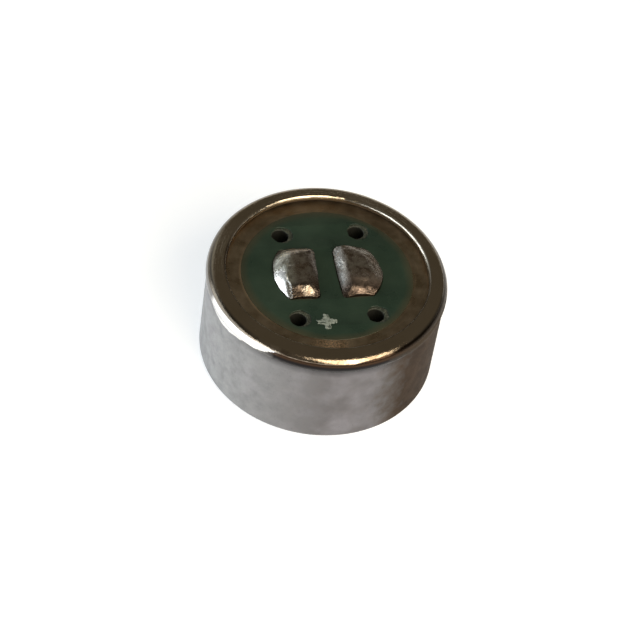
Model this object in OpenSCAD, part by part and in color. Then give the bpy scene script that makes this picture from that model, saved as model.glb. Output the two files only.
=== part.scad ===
// Cardioid electret microphone capsule, seen in use with its circuit board upwards.
// The origin is the centre of the case's front face, which holds the sound holes, and +Z points
// towards the terminals. +Y runs along the gap between the two terminals. Millimetres.

/* [Case] */
// Outside diameter of the case wall
case_d = 9.7; // [9.4:0.1:10.6]
// Height of the case from its front face to the top of the rolled rim
case_h = 4.8; // [4.4:0.1:6]
// Thickness of the aluminium sheet
case_wall = 0.26; // [0.22:0.02:0.32]
// Outside radius of the corner between the front face and the wall
front_edge_r = 0.3; // [0.1:0.05:0.4]
// Outside radius of the roll at the rim
roll_r = 0.42; // [0.38:0.02:0.48]
// How far the roll stands out past the wall
roll_bulge = 0.06; // [0.02:0.01:0.1]
// Radial distance from the case wall's outside to the lip's edge
lip_w = 0.74; // [0.66:0.02:0.9]
// Angle at which the lip rises from the roll to its edge
lip_rise = 11; // [4:1:15]

/* [Front] */
// Diameter of each sound hole
sound_hole_d = 0.8; // [0.5:0.1:1]
// Number of sound holes in the ring round the middle one
sound_hole_count = 6; // [3:1:8]
// Diameter of the circle on which the sound holes lie
sound_hole_circle = 4.4; // [3.8:0.2:5.2]
// Thickness of the dust cloth behind the sound holes
front_cloth_t = 0.15; // [0.1:0.05:0.3]

/* [Capsule stack] */
// Radial clearance of each piece that drops into another
fit_gap = 0.03; // [0.01:0.01:0.06]
// Radial width of the ring that carries the diaphragm
diaphragm_ring_w = 0.95; // [0.7:0.05:1.1]
// Height of the ring that carries the diaphragm
diaphragm_ring_h = 0.45; // [0.35:0.05:0.6]
// Thickness of the diaphragm's film
diaphragm_t = 0.012; // [0.01:0.002:0.02]
// Radial width of the spacer washer
spacer_w = 1; // [0.8:0.05:1.2]
// Thickness of the spacer washer
spacer_t = 0.06; // [0.04:0.01:0.1]
// Thickness of the charged film on the back plate
electret_t = 0.025; // [0.02:0.005:0.04]
// Thickness of the back plate
back_plate_t = 0.4; // [0.3:0.05:0.6]
// Diameter of each hole through the back plate
plate_hole_d = 0.5; // [0.3:0.1:0.8]
// Number of holes in the ring round the middle one
plate_hole_count = 6; // [3:1:8]
// Diameter of the circle on which the back plate's holes lie
plate_hole_circle = 4; // [3.2:0.2:5]
// Radial thickness of the insulating ring
insulator_wall = 0.45; // [0.35:0.05:0.5]
// Radial thickness of the brass gate ring
gate_ring_wall = 0.4; // [0.3:0.05:0.45]
// Thickness of the damping cloth on the back plate
damping_cloth_t = 0.3; // [0.2:0.05:0.5]

/* [Circuit board] */
// Thickness of the laminate
board_t = 0.8; // [0.6:0.1:1]
// Thickness of the copper on both faces
copper_t = 0.035; // [0.02:0.005:0.05]
// Thickness of the solder mask where it lies on copper
mask_over_copper = 0.02; // [0.01:0.005:0.03]
// Diameter of the solder mask on the outer face
mask_d = 7; // [6.8:0.1:7.1]
// How far each copper ring's edge reaches under the mask
ring_under_mask = 0.1; // [0.05:0.05:0.2]
// Bare margin between the outer copper ring and the laminate's edge
ring_margin = 0.06; // [0.02:0.02:0.1]
// Width of the track from the ground terminal to the ring
ground_track_w = 0.5; // [0.3:0.1:0.8]

/* [Vents] */
// Diameter of each vent hole
vent_d = 0.7; // [0.5:0.05:0.8]
// Distance between the vents across the terminals
vent_spacing_x = 3.15; // [3.1:0.05:3.3]
// Distance between the vents along the terminals
vent_spacing_y = 4.55; // [4.5:0.05:4.7]
// Bare laminate round each vent, from its edge to the mask
vent_bare = 0.15; // [0.05:0.05:0.2]
// How far the rear cloth reaches past the vents, towards the middle
rear_cloth_overlap = 0.06; // [0.02:0.02:0.1]
// Thickness of the rear cloth
rear_cloth_t = 0.15; // [0.1:0.05:0.3]

/* [Terminals] */
// Diameter of the circle that bounds both terminals
pad_d = 4.6; // [4.2:0.1:4.7]
// Length of each terminal along the gap
pad_len = 2.95; // [2.4:0.05:3]
// Gap between the terminals
pad_gap = 0.62; // [0.4:0.02:0.9]
// Radius of the terminals' corners
pad_corner_r = 0.2; // [0.1:0.05:0.3]
// Gap between a terminal and the mask round it
pad_mask_gap = 0.05; // [0.02:0.01:0.08]
// Height of the solder on each terminal
solder_h = 0.42; // [0.3:0.02:0.6]
// How far the solder's top is drawn in from the terminal's edge
solder_inset = 0.75; // [0.5:0.05:0.8]
// Distance between the plated holes through the terminals
via_spacing = 3.4; // [3.2:0.1:3.6]
// Drilled diameter of each plated hole
via_d = 0.4; // [0.3:0.05:0.5]
// Thickness of the copper in each plated hole
via_wall = 0.05; // [0.03:0.01:0.08]

/* [Polarity mark] */
// Length of each stroke of the plus mark
mark_len = 0.92; // [0.7:0.02:1]
// Width of each stroke
mark_stroke = 0.28; // [0.15:0.01:0.35]
// Thickness of the ink
mark_t = 0.02; // [0.01:0.005:0.03]
// Middle of the mark across the terminals
mark_x = -0.45; // [-0.6:0.05:0.6]
// Middle of the mark along the terminals
mark_y = -2.52; // [-2.6:0.02:-2.4]

/* [Transistor] */
// Length of the moulded body
transistor_l = 2.9; // [2.6:0.1:3]
// Width of the moulded body
transistor_w = 1.3; // [1.2:0.05:1.4]
// Height of the moulded body
transistor_h = 0.95; // [0.8:0.05:1.1]
// Gap between the moulded body and the copper
transistor_gap = 0.1; // [0.05:0.01:0.15]
// Width of each lead
lead_w = 0.4; // [0.3:0.05:0.45]
// Thickness of each lead
lead_t = 0.12; // [0.08:0.01:0.16]
// How far each lead stands out from the body
lead_reach = 0.55; // [0.45:0.05:0.6]
// Length of each lead's foot past its upright
lead_foot = 0.3; // [0.2:0.05:0.35]
// Distance between the two leads on the same side
lead_pitch = 1.9; // [1.8:0.1:2]
// Middle of the transistor along the terminals
transistor_y = 0.6; // [0.5:0.05:0.65]

/* [Capacitors] */
// Length of each chip capacitor
capacitor_l = 1; // [0.9:0.05:1.1]
// Width and height of each chip capacitor
capacitor_w = 0.5; // [0.4:0.05:0.55]
// Length of each metal end
capacitor_end = 0.25; // [0.15:0.05:0.3]
// Thickness of the metal ends
capacitor_end_t = 0.02; // [0.01:0.005:0.03]
// Middle of the first capacitor along the terminals
capacitor_y = -1.2; // [-1.25:0.01:-1.18]
// Distance between the two capacitors
capacitor_pitch = 0.65; // [0.62:0.01:0.68]

/* [Inner copper] */
// Length of the copper under each lead's foot
foot_pad_l = 0.7; // [0.5:0.05:0.75]
// Width of the copper under each lead's foot
foot_pad_w = 0.6; // [0.5:0.05:0.75]
// Length of the copper under each capacitor end
end_pad_l = 0.5; // [0.35:0.05:0.55]
// Width of the copper under each capacitor end
end_pad_w = 0.55; // [0.5:0.01:0.6]
// Width of the inner tracks
track_w = 0.4; // [0.2:0.05:0.5]
// Copper left round each plated hole on the inner face
via_land = 0.16; // [0.1:0.02:0.2]

/* [Hidden] */
$fn = 64;
CLEAR = 1; // Extra length of a cutting tool past the face it opens
DOME_STEPS = 6; // Slices in a solder dome, above its base

// Case, from its outside surface inwards
case_r = case_d / 2;
bore_r = case_r - case_wall;
lip_edge_r = case_r - lip_w;
lip_normal = [sin(lip_rise), cos(lip_rise)];
lip_tip = [lip_edge_r + case_wall / 2, case_h - case_wall / 2];
roll_x = case_r + roll_bulge - roll_r;
lip_run = (roll_x + (roll_r - case_wall / 2) * lip_normal.x - lip_tip.x) / cos(lip_rise);
lip_root = lip_tip + lip_run * [cos(lip_rise), -sin(lip_rise)];
roll_centre = lip_root - (roll_r - case_wall / 2) * lip_normal;
roll_foot_z = roll_centre.y - sqrt(pow(roll_r, 2) - pow(case_r - roll_centre.x, 2));
stack_r = bore_r - fit_gap;

// The lip's underside, which presses on the edge of the outer copper ring
bend = roll_centre + (roll_r - case_wall) * lip_normal;
copper_edge_r = stack_r - ring_margin;
copper_edge_drop = sqrt(pow(roll_r - case_wall, 2) - pow(max(copper_edge_r - roll_centre.x, 0), 2));
lip_under_z = copper_edge_r < bend.x
    ? bend.y + (bend.x - copper_edge_r) * tan(lip_rise)
    : roll_centre.y + copper_edge_drop;

// Heights through the stack, from the front wall to the board
ring_z = case_wall;
diaphragm_z = ring_z + diaphragm_ring_h;
spacer_z = diaphragm_z + diaphragm_t;
electret_z = spacer_z + spacer_t;
plate_z = electret_z + electret_t;
gate_ring_z = plate_z + back_plate_t;
board_face_z = lip_under_z;
laminate_top_z = board_face_z - copper_t;
laminate_z = laminate_top_z - board_t;
mask_t = copper_t + mask_over_copper;
gate_ring_top_z = laminate_z - copper_t;

// Radii of the stack
ring_inner_r = stack_r - diaphragm_ring_w;
spacer_inner_r = stack_r - spacer_w;
insulator_bore_r = stack_r - insulator_wall;
plate_r = insulator_bore_r - fit_gap;
gate_ring_bore_r = plate_r - gate_ring_wall;
mask_r = mask_d / 2;
slice_t = solder_h / 40; // Thickness of each slice that a solder dome is drawn over
inner_mask_r = gate_ring_bore_r - fit_gap;

// Board features
vent_circle_r = norm([vent_spacing_x, vent_spacing_y]) / 2;
rear_cloth_inner_r = vent_circle_r - vent_d / 2 - rear_cloth_overlap;
lead_edge_y = transistor_w / 2 + lead_reach;
foot_y = lead_edge_y - lead_foot / 2;
capacitor_rows = [capacitor_y, capacitor_y - capacitor_pitch];
end_x = capacitor_l / 2;
foot_x = lead_pitch / 2;
via_x = via_spacing / 2;
via_y = transistor_y - foot_y;

// A ring or, with no inner radius, a disc that stands on height z
module washer(outer_r, inner_r, t, z) {
    translate([0, 0, z])
        linear_extrude(t)
            difference() {
                circle(outer_r);
                if (inner_r > 0)
                    circle(inner_r);
            }
}

// One hole in the middle and count more on a circle, as solid pins from height z
module hole_ring(d, count, circle_d, t, z) {
    translate([0, 0, z]) {
        cylinder(d = d, h = t);
        for (i = [0 : count - 1])
            rotate(i * 360 / count)
                translate([circle_d / 2, 0, 0])
                    cylinder(d = d, h = t);
    }
}

// Repeats its children at the four vents
module at_vents() {
    for (x = [-1, 1], y = [-1, 1])
        translate([x * vent_spacing_x / 2, y * vent_spacing_y / 2])
            children();
}

// Repeats its children at the two plated holes
module at_vias() {
    for (side = [-1, 1])
        translate([side * via_x, via_y])
            children();
}

// Turns its children upside down onto the board's inner face, where their z = 0 meets the laminate
module on_inner_face() {
    translate([0, 0, laminate_z])
        mirror([0, 0, 1])
            children();
}

// Section of the rolled rim and its lip, cut off where the wall begins
module roll_section() {
    difference() {
        union() {
            translate(roll_centre) {
                circle(roll_r);
                rotate(-lip_rise)
                    translate([-lip_run, 0])
                        square([lip_run, roll_r]);
            }
            translate([bore_r, roll_foot_z])
                square([case_wall, roll_centre.y - roll_foot_z]);
        }
        translate(roll_centre) {
            circle(roll_r - case_wall);
            rotate(-lip_rise) {
                translate([-lip_run - roll_r - CLEAR, -roll_r])
                    square([lip_run + roll_r + CLEAR, 2 * roll_r - case_wall]);
                translate([-lip_run - roll_r - CLEAR, 0])
                    square([roll_r + CLEAR, roll_r + CLEAR]);
            }
        }
        translate([roll_centre.x - roll_r - CLEAR, roll_foot_z - roll_r])
            square([bore_r - roll_centre.x + roll_r + CLEAR, roll_r + roll_centre.y - roll_foot_z]);
    }
}

// Section of the case, with the radius along X and the height along Y
module case_section() {
    square([case_r - front_edge_r, case_wall]);
    translate([bore_r, front_edge_r])
        square([case_wall, roll_foot_z - front_edge_r]);
    difference() {
        translate([case_r - front_edge_r, front_edge_r])
            circle(front_edge_r);
        translate([case_r - 2 * front_edge_r - CLEAR, case_wall])
            square([2 * front_edge_r + CLEAR - case_wall, front_edge_r + CLEAR]);
    }
    roll_section();
    translate(lip_tip)
        circle(case_wall / 2);
}

module case() {
    color("silver")
        difference() {
            rotate_extrude()
                case_section();
            hole_ring(sound_hole_d, sound_hole_count, sound_hole_circle, case_wall + 2 * CLEAR, -CLEAR);
        }
}

module front_cloth() {
    color("dimgray")
        washer(ring_inner_r - fit_gap, 0, front_cloth_t, ring_z);
}

module diaphragm_ring() {
    color("goldenrod")
        washer(stack_r, ring_inner_r, diaphragm_ring_h, ring_z);
}

module diaphragm() {
    color("gainsboro")
        washer(stack_r, 0, diaphragm_t, diaphragm_z);
}

module spacer() {
    color("lightyellow")
        washer(stack_r, spacer_inner_r, spacer_t, spacer_z);
}

// A disc the size of the back plate, with its holes
module plate_disc(t, z) {
    difference() {
        washer(plate_r, 0, t, z);
        hole_ring(plate_hole_d, plate_hole_count, plate_hole_circle, t + 2 * CLEAR, z - CLEAR);
    }
}

module electret_film() {
    color("whitesmoke")
        plate_disc(electret_t, electret_z);
}

module back_plate() {
    color("goldenrod")
        plate_disc(back_plate_t, plate_z);
}

module insulator() {
    color("ivory")
        washer(stack_r, insulator_bore_r, laminate_z - electret_z, electret_z);
}

module gate_ring() {
    color("goldenrod")
        washer(plate_r, gate_ring_bore_r, gate_ring_top_z - gate_ring_z, gate_ring_z);
}

module damping_cloth() {
    color("dimgray")
        washer(gate_ring_bore_r - fit_gap, 0, damping_cloth_t, gate_ring_z);
}

module board() {
    color("darkkhaki")
        translate([0, 0, laminate_z])
            linear_extrude(board_t)
                difference() {
                    circle(stack_r);
                    at_vents()
                        circle(d = vent_d);
                    at_vias()
                        circle(d = via_d);
                }
}

// Outline of one terminal: side is 1 on the ground side and -1 on the positive side
module pad_outline(side) {
    offset(r = pad_corner_r)
        offset(delta = -pad_corner_r)
            intersection() {
                circle(d = pad_d);
                translate([side > 0 ? pad_gap / 2 : -pad_d - pad_gap / 2, -pad_len / 2])
                    square([pad_d, pad_len]);
            }
}

// Outline of the etched copper that joins the ground terminal to the ring under the lip
module ground_outline() {
    difference() {
        circle(copper_edge_r);
        circle(mask_r - ring_under_mask);
    }
    pad_outline(1);
    translate([(pad_d - pad_corner_r) / 2, -ground_track_w / 2])
        square([mask_r - (pad_d - pad_corner_r) / 2, ground_track_w]);
}

module ground_copper() {
    color("peru")
        translate([0, 0, laminate_top_z])
            linear_extrude(copper_t)
                difference() {
                    ground_outline();
                    at_vias()
                        circle(d = via_d);
                }
}

module positive_pad() {
    color("peru")
        translate([0, 0, laminate_top_z])
            linear_extrude(copper_t)
                difference() {
                    pad_outline(-1);
                    at_vias()
                        circle(d = via_d);
                }
}

// Copper barrels that line the two holes from the outer copper's face to the inner copper's face
module plated_holes() {
    color("peru")
        at_vias()
            washer(via_d / 2, via_d / 2 - via_wall, board_t + 2 * copper_t, laminate_z - copper_t);
}

module solder_mask() {
    color("darkgreen")
        difference() {
            translate([0, 0, laminate_top_z])
                linear_extrude(mask_t)
                    difference() {
                        circle(mask_r);
                        at_vents()
                            circle(d = vent_d + 2 * vent_bare);
                        for (side = [-1, 1])
                            offset(delta = pad_mask_gap)
                                pad_outline(side);
                    }
            translate([0, 0, laminate_top_z - CLEAR])
                linear_extrude(CLEAR + copper_t)
                    ground_outline();
        }
}

module polarity_mark() {
    color("white")
        translate([mark_x, mark_y, laminate_top_z + mask_t])
            linear_extrude(mark_t)
                union() {
                    square([mark_len, mark_stroke], center = true);
                    square([mark_stroke, mark_len], center = true);
                }
}

// A dome of solder on one terminal, with the solder that fills its plated hole
module solder(side) {
    translate([0, 0, board_face_z])
        hull()
            for (i = [0 : DOME_STEPS]) {
                angle = 90 * i / DOME_STEPS;
                translate([0, 0, (solder_h - slice_t) * sin(angle)])
                    linear_extrude(slice_t)
                        offset(delta = -solder_inset * (1 - cos(angle)))
                            pad_outline(side, $fn = 32);
            }
    translate([side * via_x, via_y, laminate_z - copper_t])
        cylinder(r = via_d / 2 - via_wall, h = board_t + 2 * copper_t);
}

module positive_solder() {
    color("lightgray")
        solder(-1);
}

module ground_solder() {
    color("lightgray")
        solder(1);
}

// Plan of the drain's copper: its foot, its plated hole and one end of each capacitor.
// The source's copper is the same, mirrored.
module drain_outline() {
    translate([-foot_x, via_y])
        square([foot_pad_w, foot_pad_l], center = true);
    translate([-via_x, via_y])
        circle(via_d / 2 + via_land);
    translate([-via_x, via_y - track_w / 2])
        square([via_x - foot_x, track_w]);
    translate([-end_x - track_w / 2, capacitor_rows[1]])
        square([track_w, via_y - capacitor_rows[1]]);
    for (y = capacitor_rows)
        translate([-end_x, y])
            square([end_pad_l, end_pad_w], center = true);
}

// Plan of the gate's copper: its foot, the ring that the gate ring presses on and the track between
module gate_outline() {
    difference() {
        circle(plate_r);
        circle(inner_mask_r - ring_under_mask);
    }
    gate_y = transistor_y + foot_y;
    translate([0, gate_y])
        square([foot_pad_w, foot_pad_l], center = true);
    translate([-track_w / 2, gate_y])
        square([track_w, inner_mask_r - gate_y]);
}

// One piece of inner copper from its plan, open at the plated holes
module inner_copper() {
    color("peru")
        on_inner_face()
            linear_extrude(copper_t)
                difference() {
                    children();
                    at_vias()
                        circle(d = via_d);
                }
}

module gate_copper() {
    inner_copper()
        gate_outline();
}

module drain_copper() {
    inner_copper()
        drain_outline();
}

module source_copper() {
    inner_copper()
        mirror([1, 0])
            drain_outline();
}

// Plans of the places that the inner mask leaves bare for soldering
module inner_openings() {
    translate([0, transistor_y + foot_y])
        square([foot_pad_w, foot_pad_l], center = true);
    for (side = [-1, 1])
        translate([side * foot_x, via_y])
            square([foot_pad_w, foot_pad_l], center = true);
    for (y = capacitor_rows)
        translate([0, y])
            square([capacitor_l + end_pad_l, end_pad_w], center = true);
    at_vias()
        circle(d = via_d);
    at_vents()
        circle(d = vent_d);
}

module inner_mask() {
    color("darkgreen")
        on_inner_face()
            difference() {
                linear_extrude(mask_t)
                    difference() {
                        circle(inner_mask_r);
                        inner_openings();
                    }
                translate([0, 0, -CLEAR])
                    linear_extrude(CLEAR + copper_t) {
                        gate_outline();
                        drain_outline();
                        mirror([1, 0])
                            drain_outline();
                    }
            }
}

module rear_cloth() {
    color("dimgray")
        on_inner_face()
            washer(gate_ring_bore_r - fit_gap, rear_cloth_inner_r, rear_cloth_t, mask_t);
}

module transistor_body() {
    color("black")
        on_inner_face()
            translate([-transistor_l / 2, transistor_y - transistor_w / 2, copper_t + transistor_gap])
                cube([transistor_l, transistor_w, transistor_h]);
}

// One bent lead whose foot rests on the copper and points along +Y
module lead() {
    exit_z = transistor_gap + transistor_h / 2;
    upright_y = lead_edge_y - lead_foot;
    translate([lead_w / 2, transistor_y, copper_t])
        rotate([90, 0, -90])
            mirror([1, 0, 0])
                linear_extrude(lead_w)
                    polygon([
                        [transistor_w / 2, exit_z - lead_t / 2],
                        [upright_y - lead_t, exit_z - lead_t / 2],
                        [upright_y - lead_t, 0],
                        [lead_edge_y, 0],
                        [lead_edge_y, lead_t],
                        [upright_y, lead_t],
                        [upright_y, exit_z + lead_t / 2],
                        [transistor_w / 2, exit_z + lead_t / 2]
                    ]);
}

// Repeats its children at the three leads
module at_leads() {
    children();
    for (side = [-1, 1])
        translate([side * foot_x, 2 * transistor_y, 0])
            mirror([0, 1, 0])
                children();
}

module transistor_leads() {
    color("lightgray")
        on_inner_face()
            at_leads()
                lead();
}

// Ceramic block of one capacitor, which its metal ends wrap
module capacitor_core() {
    core_w = capacitor_w - 2 * capacitor_end_t;
    translate([0, 0, copper_t + capacitor_w / 2])
        cube([capacitor_l - 2 * capacitor_end_t, core_w, core_w], center = true);
}

module capacitor_bodies() {
    color("tan")
        on_inner_face()
            for (y = capacitor_rows)
                translate([0, y, 0])
                    capacitor_core();
}

module capacitor_ends() {
    color("lightgray")
        on_inner_face()
            for (y = capacitor_rows, side = [0, 1])
                translate([0, y, 0])
                    difference() {
                        mirror([side, 0, 0])
                            translate([capacitor_l / 2 - capacitor_end, -capacitor_w / 2, copper_t])
                                cube([capacitor_end, capacitor_w, capacitor_w]);
                        capacitor_core();
                    }
}

// A wedge of solder that climbs height h from the copper, with its upright face at y = 0
module fillet(w, reach, h) {
    translate([-w / 2, 0, copper_t])
        rotate([90, 0, 90])
            linear_extrude(w)
                polygon([[0, 0], [reach, 0], [0, h]]);
}

module inner_solder() {
    toe = (foot_pad_l - lead_foot) / 2;
    color("lightgray")
        on_inner_face() {
            at_leads()
                translate([0, transistor_y + lead_edge_y, 0])
                    fillet(lead_w, toe, lead_t);
            for (y = capacitor_rows, side = [-1, 1])
                translate([side * end_x, y, 0])
                    rotate(-side * 90)
                        fillet(capacitor_w, end_pad_l / 2, capacitor_w / 2);
        }
}

case();
front_cloth();
diaphragm_ring();
diaphragm();
spacer();
electret_film();
back_plate();
insulator();
gate_ring();
damping_cloth();
board();
ground_copper();
positive_pad();
plated_holes();
solder_mask();
polarity_mark();
positive_solder();
ground_solder();
inner_mask();
gate_copper();
drain_copper();
source_copper();
rear_cloth();
transistor_body();
transistor_leads();
capacitor_bodies();
capacitor_ends();
inner_solder();
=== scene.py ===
"""Cardioid microphone capsule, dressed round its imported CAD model."""

import math
from functools import partial, reduce

import bmesh
import bpy
from mathutils import Matrix, Vector, noise


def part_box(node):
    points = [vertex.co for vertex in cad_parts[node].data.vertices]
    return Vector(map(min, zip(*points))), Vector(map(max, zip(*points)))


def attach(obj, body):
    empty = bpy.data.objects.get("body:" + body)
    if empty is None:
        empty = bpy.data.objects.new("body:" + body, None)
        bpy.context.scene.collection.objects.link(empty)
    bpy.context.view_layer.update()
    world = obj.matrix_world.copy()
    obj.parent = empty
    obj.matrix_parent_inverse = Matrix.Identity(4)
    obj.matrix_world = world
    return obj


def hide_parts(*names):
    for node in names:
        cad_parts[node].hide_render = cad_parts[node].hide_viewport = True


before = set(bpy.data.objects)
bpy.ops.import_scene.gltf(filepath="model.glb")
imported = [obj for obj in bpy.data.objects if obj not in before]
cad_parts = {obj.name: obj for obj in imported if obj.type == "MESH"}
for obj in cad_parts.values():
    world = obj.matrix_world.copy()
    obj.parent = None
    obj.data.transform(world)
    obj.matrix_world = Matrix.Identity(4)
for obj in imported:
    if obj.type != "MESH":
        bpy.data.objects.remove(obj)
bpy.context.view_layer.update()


# Case
# The can is drawn in one piece from thin aluminium sheet, and its sound holes are punched through
# the front wall. Its open end is rolled over the board last, which clamps the stack together: the
# tool burnishes the roll, ripples it a little and leaves the wall with the mill's dull finish.
mm = 0.001
full_turn = 2 * math.pi
case_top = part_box("case")[1].z
roll_out_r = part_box("case")[1].x
sheet_t = 0.26 * mm
front_edge_r = 0.3 * mm
inside_edge_r = 0.05 * mm
roll_r = 0.42 * mm
roll_bulge = 0.06 * mm
lip_w = 0.74 * mm
lip_rise = math.radians(11)
lip_corner_r = 0.05 * mm
lip_facet_r = 0.13 * mm
lip_under_r = 0.20 * mm
case_r = roll_out_r - roll_bulge
bore_r = case_r - sheet_t
lip_edge_r = case_r - lip_w
case_steps = 360
crease_angle = 35
sound_hole_r = 0.4 * mm
sound_hole_ring_r = 2.2 * mm
sound_hole_count = 6
punch_flare = 0.05 * mm
punch_steps = 48
ripple = 0.016 * mm
slow_wave = 2.6
quick_wave = 9
nick_wave = 34
nick_h = 0.3 * mm
roll_foot_z = case_top - 0.72 * mm
roll_foot_h = 0.09 * mm
press_azimuth = -67
press_half_turn = 78

mill_grey = (0.385, 0.40, 0.415)
# Painted shade: the dim grey that the wall turns towards the side away from the window.
side_shade_grey = (0.162, 0.152, 0.154)
mottle_grey = (0.17, 0.17, 0.18)
cloud_grey = (0.42, 0.41, 0.45)
speck_grey = (0.13, 0.13, 0.14)
roll_shadow = (0.050, 0.048, 0.052)
# Painted reflection: the dark brown that one side of the wall shows, laid on as a matt film.
dark_reflection_brown = (0.030, 0.021, 0.016)
light_reflection_brown = (0.054, 0.039, 0.030)
plain_roll = (0.25, 0.247, 0.245)
# Painted reflection: the dark band on the roll's near underside, browner higher up and towards one side.
low_roll_reflection = (0.017, 0.0155, 0.0165)
high_roll_reflection = (0.058, 0.034, 0.021)
side_roll_reflection = (0.046, 0.035, 0.025)
# Partly a painted highlight: the near white of the burnished patch where the window's highlight falls.
pressed_highlight_white = (0.96, 0.96, 0.96)
# Painted highlight: gold on the near crest, olive around the rest of it.
crest_highlight_gold = (0.56, 0.48, 0.38)
crest_gap = (0.18, 0.13, 0.088)
crest_olive = (0.135, 0.118, 0.095)
lip_brown = (0.36, 0.29, 0.20)
lip_tan = (0.46, 0.385, 0.29)
dull_edge = (0.13, 0.10, 0.07)
# Painted highlight: the lip's far inner edge.
far_edge_highlight = (0.68, 0.60, 0.48)
far_edge_bright_highlight = (0.94, 0.90, 0.80)
burr_brown = (0.30, 0.235, 0.165)


def arc(centre, radius, start, end, steps):
    """Points of a circle's arc in a section, from one angle in degrees to another."""
    turns = [math.radians(start + (end - start) * k / steps) for k in range(steps + 1)]
    return [(centre[0] + radius * math.cos(a), centre[1] + radius * math.sin(a)) for a in turns]


def stretch(start, end, steps):
    """Evenly spaced points between two points of a section, without the ends."""
    return [
        tuple(p + (q - p) * k / steps for p, q in zip(start, end))
        for k in range(1, steps)
    ]


def lathe(section, steps):
    """Turns a closed section of (radius, height) points round the Z axis into a bmesh."""
    shape = bmesh.new()
    rings = []
    for radius, height in section:
        if radius == 0:
            rings.append([shape.verts.new((0, 0, height))])
            continue
        rings.append([
            shape.verts.new((
                radius * math.cos(full_turn * k / steps),
                radius * math.sin(full_turn * k / steps),
                height,
            ))
            for k in range(steps)
        ])
    for near, far in zip(rings, rings[1:] + rings[:1]):
        if len(near) == 1 and len(far) == 1:
            continue
        for k in range(steps):
            following = (k + 1) % steps
            if len(near) == 1:
                corners = (near[0], far[following], far[k])
            elif len(far) == 1:
                corners = (near[k], near[following], far[0])
            else:
                corners = (near[k], near[following], far[following], far[k])
            shape.faces.new(corners)
    bmesh.ops.recalc_face_normals(shape, faces=shape.faces)
    return shape


def made_object(name, shape, sharp_above=crease_angle):
    """Turns a bmesh into a smooth shaded object whose sharper edges stay crisp."""
    mesh = bpy.data.meshes.new(name)
    shape.to_mesh(mesh)
    shape.free()
    mesh.shade_smooth()
    mesh.set_sharp_from_angle(angle=math.radians(sharp_above))
    piece = bpy.data.objects.new(name, mesh)
    bpy.context.scene.collection.objects.link(piece)
    return piece


def chained_arcs(arcs):
    """Arcs of a section that run on without a corner, from the origin. Each has its radius, its first
    and last angle in degrees and its steps."""
    points = [Vector((0, 0))]
    for radius, start, end, steps in arcs:
        first = math.radians(start)
        centre = points[-1] - radius * Vector((math.cos(first), math.sin(first)))
        points += [Vector(p) for p in arc(centre, radius, start, end, steps)[1:]]
    return points


def case_section():
    """The sheet's closed section, from the middle of the front wall out, over the rim and back."""
    lip_tip = Vector((lip_edge_r + sheet_t / 2, case_top - sheet_t / 2))
    across = Vector((math.sin(lip_rise), math.cos(lip_rise)))
    along = Vector((math.cos(lip_rise), -math.sin(lip_rise)))
    middle_r = roll_r - sheet_t / 2
    run = (roll_out_r - roll_r + middle_r * across.x - lip_tip.x) / along.x
    roll_centre = lip_tip + run * along - middle_r * across
    foot = -math.degrees(math.acos((case_r - roll_centre.x) / roll_r))
    foot_z = roll_centre.y + roll_r * math.sin(math.radians(foot))
    top = 90 - math.degrees(lip_rise)
    bend_r = roll_r - sheet_t
    bend_foot = -math.degrees(math.acos((bore_r - roll_centre.x) / bend_r))
    front_corner = (case_r - front_edge_r, front_edge_r)
    roll = arc(roll_centre, roll_r, foot, top, 40)
    nose = chained_arcs((
        (lip_corner_r, top, top + 30, 6),
        (lip_facet_r, top + 30, top + 85, 14),
        (lip_under_r, top + 85, top + 180, 10),
    ))
    upper_face = lip_tip + across * sheet_t / 2
    nose_x = lip_edge_r - min(point.x for point in nose)
    nose_start = upper_face + along * (nose_x - upper_face.x) / along.x
    tip = [tuple(nose_start + point) for point in nose]
    bend = arc(roll_centre, bend_r, top, bend_foot, 14)
    inside_corner = (bore_r - inside_edge_r, sheet_t + inside_edge_r)
    points = [(0, 0)]
    points += stretch((0, 0), (case_r - front_edge_r, 0), 14)
    points += arc(front_corner, front_edge_r, -90, 0, 10)
    points += stretch((case_r, front_edge_r), (case_r, foot_z), 24)
    points += roll
    points += stretch(roll[-1], tip[0], 5)
    points += tip
    points += stretch(tip[-1], bend[0], 4)
    points += bend
    points += stretch(bend[-1], (bore_r, inside_corner[1]), 12)
    points += arc(inside_corner, inside_edge_r, 0, -90, 4)
    points += stretch((inside_corner[0], sheet_t), (0, sheet_t), 14)
    points.append((0, sheet_t))
    return points


def ripple_rim(shape):
    """Moves the rolled rim in and out a little, as the rolling tool leaves it."""
    start_z = case_top - 2 * roll_r
    for vert in shape.verts:
        if vert.co.z < start_z or vert.co.xy.length < lip_edge_r - sheet_t:
            continue
        share = min(1, (vert.co.z - start_z) / roll_r)
        outward = Vector((vert.co.x, vert.co.y, 0)).normalized()
        slow = noise.noise(outward * slow_wave + Vector((0, 0, 3.1)))
        quick = noise.noise(outward * quick_wave + Vector((0, 0, 7.7)))
        nick = noise.noise(outward * nick_wave + Vector((0, 0, vert.co.z / nick_h)))
        inner = min(1, max(0, (case_r - vert.co.xy.length) / lip_w))
        vert.co += outward * ripple * share * (0.25 + inner) * (slow + 0.35 * quick + 0.16 * nick)
        vert.co.z -= ripple * share * inner * max(0, 0.6 * slow + 0.6 * quick + 0.3 * nick)


def add_shape(target, part):
    """Adds a bmesh to another one and frees it."""
    mesh = bpy.data.meshes.new("part")
    part.to_mesh(mesh)
    part.free()
    target.from_mesh(mesh)
    bpy.data.meshes.remove(mesh)


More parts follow.
